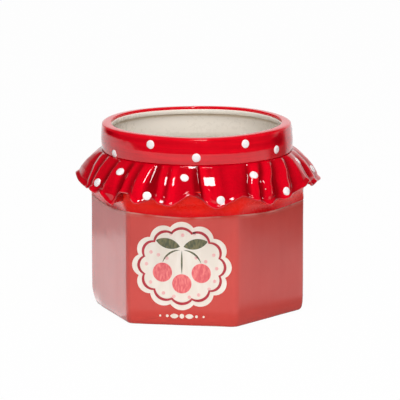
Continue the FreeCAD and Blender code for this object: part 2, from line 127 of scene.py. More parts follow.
def scaled_to(old_flats, flats, level):
    """A way to place a ring: widened or drawn in about the axis, and set at a level."""
    return lambda point: Vector((point.x * flats / old_flats, point.y * flats / old_flats, level * MM))


def round_at(radius, level):
    """A way to place a ring: drawn to a circle about the axis, at a level."""
    return lambda point: place_at(angle_of(point), radius, level)


def fire(clay, name, material):
    """Close, orient and smooth a modelled piece, and let it stand for the node of its own name."""
    bmesh.ops.remove_doubles(clay, verts=clay.verts[:], dist=0.002 * MM)
    bmesh.ops.recalc_face_normals(clay, faces=clay.faces[:])
    for face in clay.faces:
        face.smooth = True
    mesh = bpy.data.meshes.new(name + "_glazed")
    clay.to_mesh(mesh)
    clay.free()
    mesh.materials.append(material)
    piece = bpy.data.objects.new(name + "_glazed", mesh)
    bpy.context.scene.collection.objects.link(piece)
    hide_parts(name)
    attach(piece, "root")
    return piece


def add_node(tree, kind, sockets=(), **settings):
    """A shader node with its settings, and with values or links on its sockets."""
    node = tree.nodes.new(kind)
    for setting, value in settings.items():
        setattr(node, setting, value)
    for socket, value in sockets:
        if isinstance(value, bpy.types.NodeSocket):
            tree.links.new(value, node.inputs[socket])
        else:
            node.inputs[socket].default_value = value
    return node


def calculate(tree, operation, first, second, clamp=False):
    """The result of a sum on two values."""
    sums = add_node(tree, "ShaderNodeMath", ((0, first), (1, second)), operation=operation, use_clamp=clamp)
    return sums.outputs[0]


def mix_colours(tree, share, first, second):
    """A colour between two."""
    mixed = add_node(tree, "ShaderNodeMix", ((0, share), (6, first), (7, second)), data_type="RGBA")
    return mixed.outputs[2]


def ramp(tree, value, low, high):
    """A value from 0 to 1 as another goes from low to high."""
    spread = add_node(tree, "ShaderNodeMapRange", ((0, value), (1, low), (2, high)),
                      interpolation_type="SMOOTHSTEP")
    return spread.outputs[0]


def place_on(tree):
    """Places on the piece, in its own coordinates."""
    return add_node(tree, "ShaderNodeTexCoord").outputs["Object"]


def level_on(tree, where):
    """The level of a place."""
    return add_node(tree, "ShaderNodeSeparateXYZ", (("Vector", where),)).outputs["Z"]


def drawn_out(tree, where, scale, turn=(0.0, 0.0, 0.0)):
    """Places scaled along each axis and turned, for marks that run one way."""
    drawn = add_node(tree, "ShaderNodeMapping", (("Vector", where), ("Rotation", turn), ("Scale", scale)))
    return drawn.outputs[0]


def mottle(tree, where, scale, detail):
    """Cloudy patches of a scale and fineness."""
    patches = add_node(tree, "ShaderNodeTexNoise", (("Vector", where), ("Scale", scale), ("Detail", detail)))
    return patches.outputs[0]


def build_fired_glaze():
    """The group that every glaze here shares: clouds, runs and pinholes in a coat of changing depth."""
    group = bpy.data.node_groups.new("fired_glaze", "ShaderNodeTree")
    for socket in ("Deep Color", "Thin Color", "Speck Color"):
        group.interface.new_socket(socket, in_out="INPUT", socket_type="NodeSocketColor")
    for socket in ("Depth", "Cloud", "Gloss", "Peel"):
        group.interface.new_socket(socket, in_out="INPUT", socket_type="NodeSocketFloat")
    group.interface.new_socket("Color", in_out="OUTPUT", socket_type="NodeSocketColor")
    for socket in ("Roughness", "Height"):
        group.interface.new_socket(socket, in_out="OUTPUT", socket_type="NodeSocketFloat")
    given = add_node(group, "NodeGroupInput").outputs
    where = place_on(group)
    clouds = mottle(group, where, 38.0, 4.0)
    runs = mottle(group, drawn_out(group, where, (210.0, 210.0, 16.0)), 1.0, 2.0)
    fine = mottle(group, where, 420.0, 3.0)
    swell = mottle(group, where, 110.0, 1.0)
    pores = add_node(group, "ShaderNodeTexVoronoi", (("Vector", where), ("Scale", 95.0)))
    tint = add_node(group, "ShaderNodeSeparateColor", (("Color", pores.outputs["Color"]),))
    rare = ramp(group, tint.outputs[0], 0.86, 0.90)
    speck = calculate(group, "MULTIPLY", rare, ramp(group, pores.outputs["Distance"], 0.045, 0.02))
    cloudy = calculate(group, "ADD", clouds, calculate(group, "MULTIPLY", runs, 0.6))
    cloudy = calculate(group, "ADD", cloudy, calculate(group, "MULTIPLY", fine, 0.25))
    shift = calculate(group, "MULTIPLY", calculate(group, "SUBTRACT", cloudy, 0.925), given["Cloud"])
    depth = calculate(group, "ADD", given["Depth"], shift, clamp=True)
    coat = mix_colours(group, depth, given["Thin Color"], given["Deep Color"])
    coat = mix_colours(group, speck, coat, given["Speck Color"])
    satin = calculate(group, "MULTIPLY", calculate(group, "ADD", fine, clouds), given["Gloss"])
    peel = calculate(group, "ADD", calculate(group, "MULTIPLY", fine, 0.12), swell)
    pitted = calculate(group, "SUBTRACT", peel, calculate(group, "MULTIPLY", speck, 1.4))
    height = calculate(group, "MULTIPLY", pitted, given["Peel"])
    add_node(group, "NodeGroupOutput", (("Color", coat), ("Roughness", satin), ("Height", height)))
    return group


fired_glaze = build_fired_glaze()


def open_material(name):
    """A new material's node tree with its surface shader, glossy as fired glass."""
    material = bpy.data.materials.new(name)
    material.use_nodes = True
    shader = material.node_tree.nodes["Principled BSDF"]
    shader.inputs["IOR"].default_value = 1.55
    return material, material.node_tree, shader


def lay_glaze(tree, shader, deep, thin, depth, cloud, gloss, peel, specks=GLAZE_SPECK):
    """A coat of the shared glaze on a material: its colour is returned, its gloss and relief are linked."""
    coat = add_node(tree, "ShaderNodeGroup", node_tree=fired_glaze)
    for socket, value in (("Deep Color", deep), ("Thin Color", thin), ("Speck Color", specks),
                          ("Cloud", cloud), ("Gloss", gloss), ("Peel", peel)):
        coat.inputs[socket].default_value = value
    if isinstance(depth, bpy.types.NodeSocket):
        tree.links.new(depth, coat.inputs["Depth"])
    else:
        coat.inputs["Depth"].default_value = depth
    relief = add_node(tree, "ShaderNodeBump", (
        ("Strength", 1.0), ("Distance", GLAZE_RELIEF), ("Height", coat.outputs["Height"])))
    tree.links.new(coat.outputs["Roughness"], shader.inputs["Roughness"])
    tree.links.new(relief.outputs["Normal"], shader.inputs["Normal"])
    return coat.outputs["Color"]


def rose_glaze():
    """The jar's glaze: rose, with a pale painted highlight along its upper edge, and bare clay under the
    foot.
    """
    material, tree, shader = open_material("rose_glaze")
    rose = lay_glaze(tree, shader, ROSE_DEEP, ROSE_THIN, depth=0.55, cloud=0.9, gloss=0.16, peel=0.20)
    where = place_on(tree)
    hand = mottle(tree, where, 60.0, 2.0)
    wander = calculate(tree, "MULTIPLY", calculate(tree, "SUBTRACT", hand, 0.5), 2.2 * MM)
    line = calculate(tree, "ADD", level_on(tree, where), wander)
    clay = mix_colours(tree, mottle(tree, where, 900.0, 3.0), CLAY_DARK, CLAY_PALE)
    wiped = ramp(tree, line, 0.55 * MM, 0.25 * MM)
    edge = add_node(tree, "ShaderNodeAttribute", attribute_name="edge").outputs["Fac"]
    # Painted highlight: the upper edge is coloured pale, broken up by the noise, to stand for the glint along
    # it.
    edge_highlight = calculate(tree, "MULTIPLY", edge, ramp(tree, hand, 0.25, 0.60))
    rose = mix_colours(tree, edge_highlight, rose, ROSE_EDGE_HIGHLIGHT)
    tree.links.new(mix_colours(tree, wiped, rose, clay), shader.inputs["Base Color"])
    return material


jar = bmesh.new()
ring = hexagon_ring(jar, JAR_HALF_FLATS, JAR_CORNER_ROUND)
flats, level = RECESS_FLATS, RECESS_LEVEL
for vert in jar.verts:
    vert.co = scaled_to(JAR_HALF_FLATS, flats, level)(vert.co)
for next_flats, next_level, steps in JAR_RINGS:
    for step in range(1, steps + 1):
        step_flats = flats + (next_flats - flats) * step / steps
        step_level = level + (next_level - level) * step / steps
        old_flats = flats + (next_flats - flats) * (step - 1) / steps
        ring = pull_ring(jar, ring, scaled_to(old_flats, step_flats, step_level))
    flats, level = next_flats, next_level
bmesh.ops.edgeloop_fill(jar, edges=ring)
edge = jar.verts.layers.float.new("edge")
for vert in jar.verts:
    outward = Vector((vert.co.x, vert.co.y, 0))
    height = vert.co.z / MM
    angle = angle_of(vert.co)
    across = outward.length * math.cos(math.radians((angle + 30) % 60 - 30))
    if across > OUTER_WALL * MM:
        above_foot = blend(0.0, 1.0, height / 12)
        free = blend(0.0, 1.0, (abs(angle) - TRUE_HALF_ANGLE) / 10)
        free *= blend(0.0, 1.0, (JAR_TOP - height) / 14)
        wave = noise.noise(vert.co * 26) + 0.5 * noise.noise(vert.co * 60 + Vector((7, 3, 1)))
        worn = CORNER_WEAR * (1 - above_foot) * blend(0.0, 1.0, 1 - abs(angle - WORN_ANGLE) / 16)
        vert.co += outward.normalized() * (JAR_WAVE * wave * free * above_foot - worn) * MM
        vert.co.z += edge_lift(angle) * blend(0.0, 1.0, (height - 40) / (JAR_EDGE - 41)) * MM
        # Marks the upper edge, which the glaze colours with a painted highlight.
        vert[edge] = blend(0.0, 1.0, (height - 68.3) / 0.9)
fire(jar, "jar_body", rose_glaze())


# Shoulder: a cast collar that turns the hexagon into the frill's round seat. It is brushed with the same red
# as the frill, but thinner, so it shows lighter and more orange where it leans out over the jar. Towards the
# jar's edge its red is painted darker, partly for glaze pooled in the crease and partly as painted shade.
SHOULDER_TOP = 88.0
SEAT_RADIUS = 71.4
SEAT_CORNER_ROUND = 18.0
SHOULDER_WALL = 3.6
SHOULDER_INSIDE = 57.2
# Shares of the way up at which the rings lie: two close to the jar, then even steps.
SHOULDER_SHARES = (0.015, 0.04, *(step / 14 for step in range(1, 15)))
# The step back from the jar's edge, the hollow over a flat, and how late the flats and corners sweep out.
EDGE_STEP = 0.5
COVE = 0.20
FLAT_SWEEP = 1.1
CORNER_SWEEP = 1.2
BRUSHED_DEEP_AND_SHADE = (0.66, 0.0, 0.010, 1)
BRUSHED_THIN = (0.95, 0.016, 0.006, 1)


def hexagon_radius(angle, half_flats, corner_round):
    """Distance from the axis to a hexagon with rounded corners, at an angle."""
    off_flat = math.radians((angle + 30) % 60 - 30)
    straight = half_flats / math.cos(off_flat)
    off_corner = math.pi / 6 - abs(off_flat)
    centre = (half_flats - corner_round) / math.cos(math.pi / 6)
    reach = corner_round ** 2 - (centre * math.sin(off_corner)) ** 2
    tangent = math.atan(corner_round * math.tan(math.pi / 6) / half_flats)
    if reach > 0 and off_corner < tangent * 0.75:
        return min(straight, centre * math.cos(off_corner) + math.sqrt(reach))
    return straight


def shoulder_radius(angle, level):
    """Distance from the axis to the shoulder's outside: a cove over each flat, fuller over the corners."""
    foot = JAR_EDGE + edge_lift(angle)
    share = min(max((level - foot) / (SHOULDER_TOP - foot), 0.0), 1.0)
    base = hexagon_radius(angle, JAR_HALF_FLATS, blend(JAR_CORNER_ROUND, SEAT_CORNER_ROUND, share / 0.5))
    broadside = blend(1.0, 0.0, (abs(math.sin(math.radians(angle))) - 0.85) / 0.13)
    cove = broadside * COVE * math.sin(math.pi * min(share / 0.50, 1.0))
    step = EDGE_STEP * broadside
    over_flat = share ** FLAT_SWEEP - cove
    over_corner = share ** CORNER_SWEEP
    lean = blend(over_flat, over_corner, (base - JAR_HALF_FLATS) / 8.0)
    return base - step + (SEAT_RADIUS - base + step) * lean


def red_brushed_glaze():
    """Thin brushed red with the brush's level marks, darker towards the jar's edge: partly pooled glaze,
    partly painted shade.
    """
    material, tree, shader = open_material("red_brushed_glaze")
    where = place_on(tree)
    brush = mottle(tree, drawn_out(tree, where, (26.0, 26.0, 330.0)), 1.0, 2.0)
    # Painted shade, with pooled glaze: the red deepens towards the jar's edge.
    pooled_and_shade = calculate(tree, "MULTIPLY", ramp(tree, level_on(tree, where), 76.0 * MM, JAR_EDGE * MM), 0.7)
    depth = calculate(tree, "ADD", calculate(tree, "MULTIPLY", brush, 0.25), pooled_and_shade, clamp=True)
    red = lay_glaze(tree, shader, BRUSHED_DEEP_AND_SHADE, BRUSHED_THIN, depth, cloud=0.4, gloss=0.26, peel=0.20)
    shader.inputs["Specular IOR Level"].default_value = 0.12
    tree.links.new(red, shader.inputs["Base Color"])
    return material


def on_shoulder(share):
    """A way to place a ring on the shoulder's outside, a share of the way up."""
    def place(point):
        angle = angle_of(point)
        foot = JAR_EDGE + edge_lift(angle)
        level = foot + (SHOULDER_TOP - foot) * share
        return place_at(angle, shoulder_radius(angle, level), level)
    return place


shoulder = bmesh.new()
ring = hexagon_ring(shoulder, JAR_HALF_FLATS, JAR_CORNER_ROUND)
bmesh.ops.delete(shoulder, geom=shoulder.faces[:], context="FACES_ONLY")
for vert in shoulder.verts:
    vert.co = on_shoulder(0.0)(vert.co)
for share in SHOULDER_SHARES:
    ring = pull_ring(shoulder, ring, on_shoulder(share))
ring = pull_ring(shoulder, ring, round_at(SEAT_RADIUS - SHOULDER_WALL, SHOULDER_TOP))
inner_edge = scaled_to(JAR_HALF_FLATS, SHOULDER_INSIDE, JAR_TOP)
ring = pull_ring(shoulder, ring, lambda point: inner_edge(on_shoulder(0.0)(point)))
pull_ring(shoulder, ring, on_shoulder(0.0))
fire(shoulder, "shoulder", red_brushed_glaze())


# Frill: a cast ring modelled after a gathered cloth cover. Its ridges hang down in tongues, its valleys lift
# the hem in arches, and the hem is a rolled bead. The red is painted dark in the creases, partly for pooled
# glaze and partly as painted shade; it thins out on the ridges, and is lighter at the hem, partly thin glaze
# and partly a painted highlight.
NECK_LEVEL = 102.6
NECK_TOP = NECK_LEVEL - 0.1
NECK_BORE = 58.7
FRILL_STEPS = 1440
SLOPE_STEPS = 34
HEM_BEAD = 0.9
HEM_FLARE = 1.4
HEM_FLARE_HEIGHT = 2.2
# Radii and levels of the underside, from behind the hem back up to the neck.
UNDERSIDE = ((70.5, 87.5), (61.5, 95.0), (NECK_BORE, NECK_TOP))
POOLED_DEEP_AND_SHADE = (0.25, 0.0, 0.003, 1)
POOLED_THIN_AND_HIGHLIGHT = (0.76, 0.0, 0.012, 1)
# The mean slope from the neck down: level, distance from the axis, and how much of the folds shows there.
SLOPE = (
    (103.0, 60.6, 0.35), (102.2, 61.7, 0.50), (100.0, 64.3, 0.82), (96.3, 68.2, 0.95), (92.2, 71.6, 1.0),
    (88.0, 74.1, 1.0), (84.0, 75.4, 0.90), (80.0, 75.7, 0.75), (76.0, 75.3, 0.60),
)
# The folds round the pot. Each line runs down the frill, and gives its angle near the neck, half-way down
# and at the hem, how far the frill stands out there, the level of the hem, and how sharp the fold is.
FOLD_LEVELS = (100.0, 92.0, 82.0)
FOLDS = (
    (-80, -79, -79, 2.2, 87.0, 0.2), (-72, -68, -67, 1.3, 84.8, 0.2), (-67, -60.5, -57.3, -0.2, 82.6, 0.8),
    (-62.5, -57.3, -55.6, 0.9, 83.0, 0.6), (-56.5, -55, -54.6, -0.5, 83.2, 0.8),
    (-53, -51.3, -50.5, 1.5, 82.6, 0.5), (-48, -47, -46.5, 0.9, 81.2, 0.3),
    (-43.6, -43.4, -45.6, -0.7, 83.7, 0.8), (-40.3, -40.2, -41.5, 1.5, 81.8, 0.6),
    (-35, -34.8, -34.4, 1.1, 75.9, 0.4), (-31.5, -31.8, -32.0, -1.3, 83.4, 0.5),
    (-28.6, -29, -30, 0.7, 85.4, 0.6), (-24, -24.5, -25, 0.3, 85.2, 0.1),
    (-21.5, -22, -21.4, 2.4, 81.6, 0.1), (-17.4, -18.3, -19, 2.2, 80.0, 0.2),
    (-14.4, -15.3, -16.1, -1.0, 81.2, 0.2), (-12.7, -12.4, -11.6, -1.2, 83.3, 0.2),
    (-9.8, -9.4, -9.6, 1.3, 81.6, 0.3), (-8, -7.9, -8.6, 1.4, 81.2, 0.2),
    (-5.6, -5.6, -6.2, 0.5, 80.4, 0.4), (-4.6, -4.2, -4.6, 2.0, 79.9, 0.3),
    (-3.3, -2.8, -3.2, 2.0, 79.8, 0.2), (-0.5, 0, 0.5, 0.6, 82.2, 0.2), (4.5, 5, 5.6, -1.7, 85.8, 0.2),
    (9.5, 10.2, 11.3, -3.5, 83.6, 0.9), (11.3, 12.1, 14.0, 1.75, 80.6, 0.8),
    (14.8, 15.3, 16.0, 1.75, 79.0, 0.5), (18.6, 18.8, 18.0, 2.15, 77.7, 0.6),
    (19.2, 19.2, 18.6, 1.5, 77.9, 0.5), (20.1, 19.9, 19.5, 1.75, 78.3, 0.3), (22, 21.9, 22, 0.9, 79.8, 0.3),
    (25.5, 25.4, 26.1, 0.8, 82.3, 0.1), (34.2, 31.9, 31.4, -0.8, 84.6, 0.1),
    (38.6, 35.6, 34.5, -1.7, 83.3, 0.9), (40.4, 37.3, 36.2, 0.7, 82.3, 0.5),
    (44, 40.4, 39.2, 0.9, 81.2, 0.2), (47.8, 42.6, 41.6, -1.7, 80.9, 0.9),
    (49.4, 44.1, 42.7, 0.8, 78.8, 0.5), (53, 47.5, 45.2, 1.2, 77.6, 0.2), (57, 51.4, 50.6, -1.6, 80.7, 0.7),
    (61, 54.8, 53.2, 0.7, 79.9, 0.3), (65, 58.5, 56.5, 1.7, 80.2, 0.2), (69, 64, 61.2, -0.6, 82.1, 0.5),
    (74.5, 71, 70.5, 1.9, 85.0, 0.2), (79.5, 76, 77.5, 1.6, 87.0, 0.6), (84.5, 80.5, 81, 0.0, 82.4, 0.6),
    (91, 87, 87, 1.5, 83.8, 0.6), (95, 91.5, 91.5, 0.2, 83.0, 0.5), (101, 99, 98.5, 2.3, 82.7, 0.3),
    (107, 107, 107.5, -1.7, 85.4, 0.4), (114, 114, 114.5, 1.9, 78.3, 0.4),
    (120, 120, 121.5, -1.7, 84.1, 0.4), (129, 129, 130, 2.1, 79.0, 0.4), (135, 135, 136, -1.5, 81.5, 0.7),
    (141, 141, 142, 1.7, 77.7, 0.3), (151, 151, 152, -1.9, 85.9, 0.3), (162, 162, 163, 1.9, 79.0, 0.4),
    (169, 169, 170, -1.5, 82.8, 0.6), (177, 177, 178, 2.1, 77.6, 0.4), (187, 187, 187, -1.9, 85.4, 0.3),
    (196.5, 196.5, 196, 1.9, 79.4, 0.4), (203, 203, 202, -1.3, 81.5, 0.7), (209, 209, 208, 1.7, 77.0, 0.3),
    (218, 218, 217, -1.7, 84.8, 0.3), (228, 228, 227, 2.1, 78.6, 0.4), (235, 235, 234, -1.7, 82.2, 0.6),
    (242, 242, 241, 1.9, 79.6, 0.4), (252, 252, 251, -1.9, 85.4, 0.3), (262, 262, 261, 1.8, 78.0, 0.4),
    (270, 270, 270, -1.6, 84.6, 0.4),
)
FOLD_ROUND = 0.8
CREASE_ROUND = 0.2
# Pinched creases on the ridges: angles as above, height, half width in degrees, and the levels that they run
# between.
PINCHES = (
    (-15, -11.5, -4.4, 0.5, 1.1, 87.0, 81.8), (-3.6, -3.6, -3.5, 0.4, 0.9, 84.8, 81.0),
    (-27, -25, -21, 0.3, 1.2, 94.0, 88.0), (13.5, 14.2, 17.2, 0.35, 0.9, 90.5, 84.0),
    (128, 129, 130, 0.6, 1.2, 98.0, 81.0), (162, 162, 163, 0.5, 1.1, 98.0, 82.0),
    (197, 196, 195, 0.6, 1.2, 99.0, 82.0), (228, 227, 226, 0.5, 1.1, 98.0, 81.0),
)
# Tongues that swing out towards the hem: angle, half width in degrees, and how far.
SWINGS = ((-19, 7, 2.0), (-7, 7, 1.6))
# Columns of the folds' table, and of the slope's.
OUT, HEM, SHARP = 3, 4, 5
RADIUS, SHOWN = 1, 2
# How deep the glaze is on the mean slope; how fast it deepens in a crease, partly pooled glaze and partly
# painted shade; how much it thins at the hem, partly thin glaze and partly a painted highlight; and how much
# it deepens under the band.
POOL_MEAN = 0.40
POOL_AND_SHADE_GAIN = 0.42
HEM_THINNING_AND_HIGHLIGHT = 0.35
BAND_POOLING = 0.04


def along_slope(level, column):
    """A column of the slope's table at a level."""
    for upper, lower in zip(SLOPE, SLOPE[1:]):
        if level >= lower[0]:
            share = (upper[0] - level) / (upper[0] - lower[0])
            return upper[column] + (lower[column] - upper[column]) * share
    return SLOPE[-1][column]


def line_angle(row, level):
    """The angle of a fold's line at a level."""
    high, middle, low = FOLD_LEVELS
    below = min(max((middle - level) / (middle - low), 0.0), 1.0)
    above = min(max((level - middle) / (high - middle), 0.0), 1.2)
    return row[1] + (row[0] - row[1]) * above + (row[2] - row[1]) * below


def turned_row(row, turn):
    """A fold's line, once more round the pot."""
    return (row[0] + turn, row[1] + turn, row[2] + turn, *row[3:])


FOLD_LINES = (
    *(turned_row(row, -360) for row in FOLDS[-3:]), *FOLDS, *(turned_row(row, 360) for row in FOLDS[:3]),
)
MIDDLE_ANGLES = [row[1] for row in FOLD_LINES]


def fair_slope(before, beyond):
    """The slope of a smooth curve through a fold's line, level at a ridge or valley."""
    return 2 * before * beyond / (before + beyond) if before * beyond > 0 else 0.0


def folds_at(angle, level, column):
    """A column of the folds' table at an angle and level, on a smooth curve from line to line."""
    angle = (angle - FOLDS[0][1]) % 360 + FOLDS[0][1]
    after = bisect.bisect(MIDDLE_ANGLES, angle)
    while after > 2 and line_angle(FOLD_LINES[after - 1], level) > angle:
        after -= 1
    while after < len(FOLD_LINES) - 2 and line_angle(FOLD_LINES[after], level) <= angle:
        after += 1
    near = FOLD_LINES[after - 2:after + 2]
    angles = [line_angle(row, level) for row in near]
    rises = [(after_row[column] - row[column]) / (end - start)
             for row, after_row, start, end in zip(near, near[1:], angles, angles[1:])]
    before, here, beyond = rises
    leave = here + (fair_slope(before, here) - here) * (1 - near[1][SHARP])
    arrive = here + (fair_slope(here, beyond) - here) * (1 - near[2][SHARP])
    span = angles[2] - angles[1]
    share = (angle - angles[1]) / span
    rest = 1 - share
    return ((1 + 2 * share) * rest * rest * near[1][column]
            + (3 - 2 * share) * share * share * near[2][column]
            + (leave * rest - arrive * share) * share * rest * span)


DRAWN_HEM = [folds_at(360 / FRILL_STEPS * step, FOLD_LEVELS[2], HEM) for step in range(FRILL_STEPS)]
HEM_LEVELS = [sum(DRAWN_HEM[(step + off) % FRILL_STEPS] for off in range(-5, 6)) / 11
              for step in range(FRILL_STEPS)]


def hem_level(angle):
    """Level of the hem at an angle."""
    return HEM_LEVELS[round(angle / 360 * FRILL_STEPS) % FRILL_STEPS]


def fold_at(angle, level):
    """How far the frill stands out past its mean slope, with its creases softened by the glaze."""
    spread = blend(FOLD_ROUND, CREASE_ROUND, -1 - folds_at(angle, level, OUT))
    near = sum(weight * folds_at(angle + off * spread, level, OUT)
               for off, weight in ((-1, 1), (-0.5, 2), (0, 3), (0.5, 2), (1, 1)))
    return near / 9 * along_slope(level, SHOWN)


def pinch_at(angle, level):
    """How far a pinched crease stands out of its ridge."""
    height = 0.0
    for row in PINCHES:
        out, half, top, foot = row[3:]
        off = abs((angle - line_angle(row, level) + 180) % 360 - 180) / half
        if off < 1 and foot - 1 < level < top + 1:
            ends = blend(0.0, 1.0, (top + 1 - level) / 3) * blend(0.0, 1.0, (level + 1 - foot) / 3)
            height += out * math.cos(off * math.pi / 2) ** 2 * ends
    return height


def swing_at(angle, level):
    """How far a tongue swings out, growing from the neck to the hem."""
    lift = sum(out * math.cos(min(abs(angle - middle) / half, 1.0) * math.pi / 2) ** 2
               for middle, half, out in SWINGS)
    return lift * min(max((98.0 - level) / 16.0, 0.0), 1.0)


def on_slope(angle, level):
    """Distance from the axis to the frill's outside, with the small unevenness of hand finishing."""
    uneven = noise.noise(place_at(angle, 75, level) * 95) * 0.35
    folded = fold_at(angle, level) + pinch_at(angle, level) + swing_at(angle, level)
    return along_slope(level, RADIUS) + folded + uneven


def down_slope(share):
    """A way to place a ring a share of the way down from the neck to the hem's bead."""
    def place(point):
        angle = angle_of(point)
        hem = hem_level(angle) + HEM_BEAD
        level = NECK_LEVEL + (hem - NECK_LEVEL) * (1 - (1 - share) ** 1.35)
        flare = HEM_FLARE * blend(0.0, 1.0, 1 - (level - hem) / HEM_FLARE_HEIGHT)
        return place_at(angle, on_slope(angle, level) + flare, level)
    return place


def round_hem(turn):
    """A way to place a ring on the bead that the hem is rolled to."""
    def place(point):
        angle = angle_of(point)
        level = hem_level(angle) + HEM_BEAD
        middle = on_slope(angle, level) + HEM_FLARE - HEM_BEAD
        return place_at(angle, middle + HEM_BEAD * math.cos(turn), level - HEM_BEAD * math.sin(turn))
    return place


def under_hem(point):
    """Where the hem's underside meets the shoulder, a little inside it."""
    angle = angle_of(point)
    level = hem_level(angle) + HEM_BEAD * 1.5
    return place_at(angle, min(shoulder_radius(angle, level) - 0.8, SEAT_RADIUS - 0.4), level)


def red_pooled_shaded_glaze():
    """The frill's deep red: dark in the creases as pooled glaze and painted shade, bright on the ridges, and
    bright on the hem's bead as thin glaze and a painted highlight.
    """
    material, tree, shader = open_material("red_pooled_shaded_glaze")
    pool_and_painted_light = add_node(tree, "ShaderNodeAttribute", attribute_name="pool_and_painted_light").outputs["Fac"]
    red = lay_glaze(tree, shader, POOLED_DEEP_AND_SHADE, POOLED_THIN_AND_HIGHLIGHT, pool_and_painted_light, cloud=0.30, gloss=0.05, peel=0.30)
    tree.links.new(red, shader.inputs["Base Color"])
    return material


frill = bmesh.new()
bmesh.ops.create_circle(frill, cap_ends=False, segments=FRILL_STEPS, radius=NECK_BORE * MM)
for vert in frill.verts:
    vert.co.z = NECK_TOP * MM
ring = frill.edges[:]
for step in range(SLOPE_STEPS + 1):
    ring = pull_ring(frill, ring, down_slope(step / SLOPE_STEPS))
for turn in (36, 72, 108, 144, 180):
    ring = pull_ring(frill, ring, round_hem(math.radians(turn)))
ring = pull_ring(frill, ring, under_hem)
for radius, level in UNDERSIDE:
    ring = pull_ring(frill, ring, round_at(radius, level))
pool_and_painted_light = frill.verts.layers.float.new("pool_and_painted_light")
for vert in frill.verts:
    angle = angle_of(vert.co)
    height = vert.co.z / MM
    around = sum(folds_at(angle + off, height, OUT) for off in (-4, -2, 2, 4)) / 4
    # Darker in the creases: partly pooled glaze and partly painted shade.
    sunk = POOL_MEAN + POOL_AND_SHADE_GAIN * (around * along_slope(height, SHOWN) - fold_at(angle, height))
    # Lighter at the hem: partly thin glaze and partly a painted highlight.
    near_hem = blend(0.0, HEM_THINNING_AND_HIGHLIGHT, 1 - (height - hem_level(angle)) / 1.6)
    under_band = blend(0.0, BAND_POOLING, (height - 99.5) / 2.5)
    vert[pool_and_painted_light] = min(max(sunk - near_hem + under_band, 0.0), 1.0)
frill_piece = fire(frill, "frill", red_pooled_shaded_glaze())


# Rim band: a smooth cast ring that stands on the frill's neck, with a thick lip rounded by sponging.
# It is not turned on a wheel, so the lip rises and falls a little, and level brush marks stay in its red.
BAND_RADIUS = 61.1
RIM_LEVEL = 120.2
LIP_BORE = 54.3
BAND_BORE = 56.4
LIP_FOOT = 115.8
# Corners of the band's section, and how far each is rounded.
BAND_CORNERS = (
    (58.6, 99.6, 0.0), (58.6, 102.4, 0.0), (BAND_RADIUS - 0.6, 102.4, 0.8), (BAND_RADIUS, 107.0, 4.0),
    (BAND_RADIUS, 110.0, 2.8), (BAND_RADIUS - 0.5, 117.0, 2.0), (BAND_RADIUS - 0.9, RIM_LEVEL - 0.5, 1.9),
    (LIP_BORE + 2.6, RIM_LEVEL, 2.0), (LIP_BORE, RIM_LEVEL - 0.1, 1.0), (LIP_BORE, LIP_FOOT, 0.5),
    (BAND_BORE, LIP_FOOT, 0.0), (BAND_BORE, 99.6, 0.0),
)
# Places where the brush was laid on twice: angle, level, and half the stroke's length and height.
BAND_STROKES = ((-55, 117.4, 7.0, 1.5), (67, 114.0, 10.0, 4.5), (150, 110.0, 9.0, 3.0))
BAND_DEEP = (0.42, 0.0, 0.006, 1)
BAND_THIN = (0.80, 0.002, 0.013, 1)


def wobble(point):
    """The rim's rise and fall and its want of roundness, growing with height."""
    turn = math.radians(angle_of(point))
    share = blend(0.0, 1.0, (point.z / MM - NECK_LEVEL) / (RIM_LEVEL - NECK_LEVEL))
    rise = 0.15 - 0.50 * math.cos(turn) - 0.05 * math.cos(2 * turn) + 0.20 * math.sin(4 * turn + 3.4)
    out = -0.45 * math.sin(turn) + 0.15 * math.sin(2 * turn + 2.2) + 0.10 * math.sin(7 * turn + 0.5)
    outward = Vector((point.x, point.y, 0)).normalized()
    return point + (outward * out + Vector((0, 0, rise))) * share * MM


def red_band_glaze():
    """The band's red, streaked level by the brush, thin and warm where the lip turns over."""
    material, tree, shader = open_material("red_band_glaze")
    where = place_on(tree)
    brush = mottle(tree, drawn_out(tree, where, (22.0, 22.0, 420.0)), 1.0, 3.0)
    worn = calculate(tree, "MULTIPLY", ramp(tree, level_on(tree, where), 117.4 * MM, 120.0 * MM), 0.5)
    brushed = calculate(tree, "MULTIPLY", ramp(tree, brush, 0.2, 0.75), 0.5)
    depth = calculate(tree, "SUBTRACT", brushed, worn)
    for angle, level, long, high in BAND_STROKES:
        spread = Vector((1 / long, 1 / long, 1 / high)) / MM
        middle = place_at(angle, BAND_RADIUS, level) * spread
        scaled = drawn_out(tree, where, spread)
        off = add_node(tree, "ShaderNodeVectorMath", ((0, scaled), (1, middle)), operation="DISTANCE")
        torn = calculate(tree, "ADD", off.outputs["Value"], calculate(tree, "MULTIPLY", brush, 0.9))
        stroke = calculate(tree, "MULTIPLY", ramp(tree, torn, 1.5, 0.8), 0.6)
        depth = calculate(tree, "ADD", depth, stroke, clamp=True)
    red = lay_glaze(tree, shader, BAND_DEEP, BAND_THIN, depth, cloud=0.4, gloss=0.07, peel=0.30)
    tree.links.new(red, shader.inputs["Base Color"])
    return material


band = bmesh.new()
corners = [band.verts.new((radius * MM, 0, level * MM)) for radius, level, rounded in BAND_CORNERS]
band.faces.new(corners)
for corner, (radius, level, rounded) in zip(corners, BAND_CORNERS):
    if rounded:
        bmesh.ops.bevel(band, geom=[corner], offset=rounded * MM, affect="VERTICES", segments=8,
                        profile=0.5, material=-1)
bmesh.ops.delete(band, geom=band.faces[:], context="FACES_ONLY")
bmesh.ops.spin(band, geom=band.verts[:] + band.edges[:], axis=(0, 0, 1), angle=math.tau, steps=320,
               use_merge=True)
for vert in band.verts:
    vert.co = wobble(vert.co)
band_piece = fire(band, "rim_band", red_band_glaze())


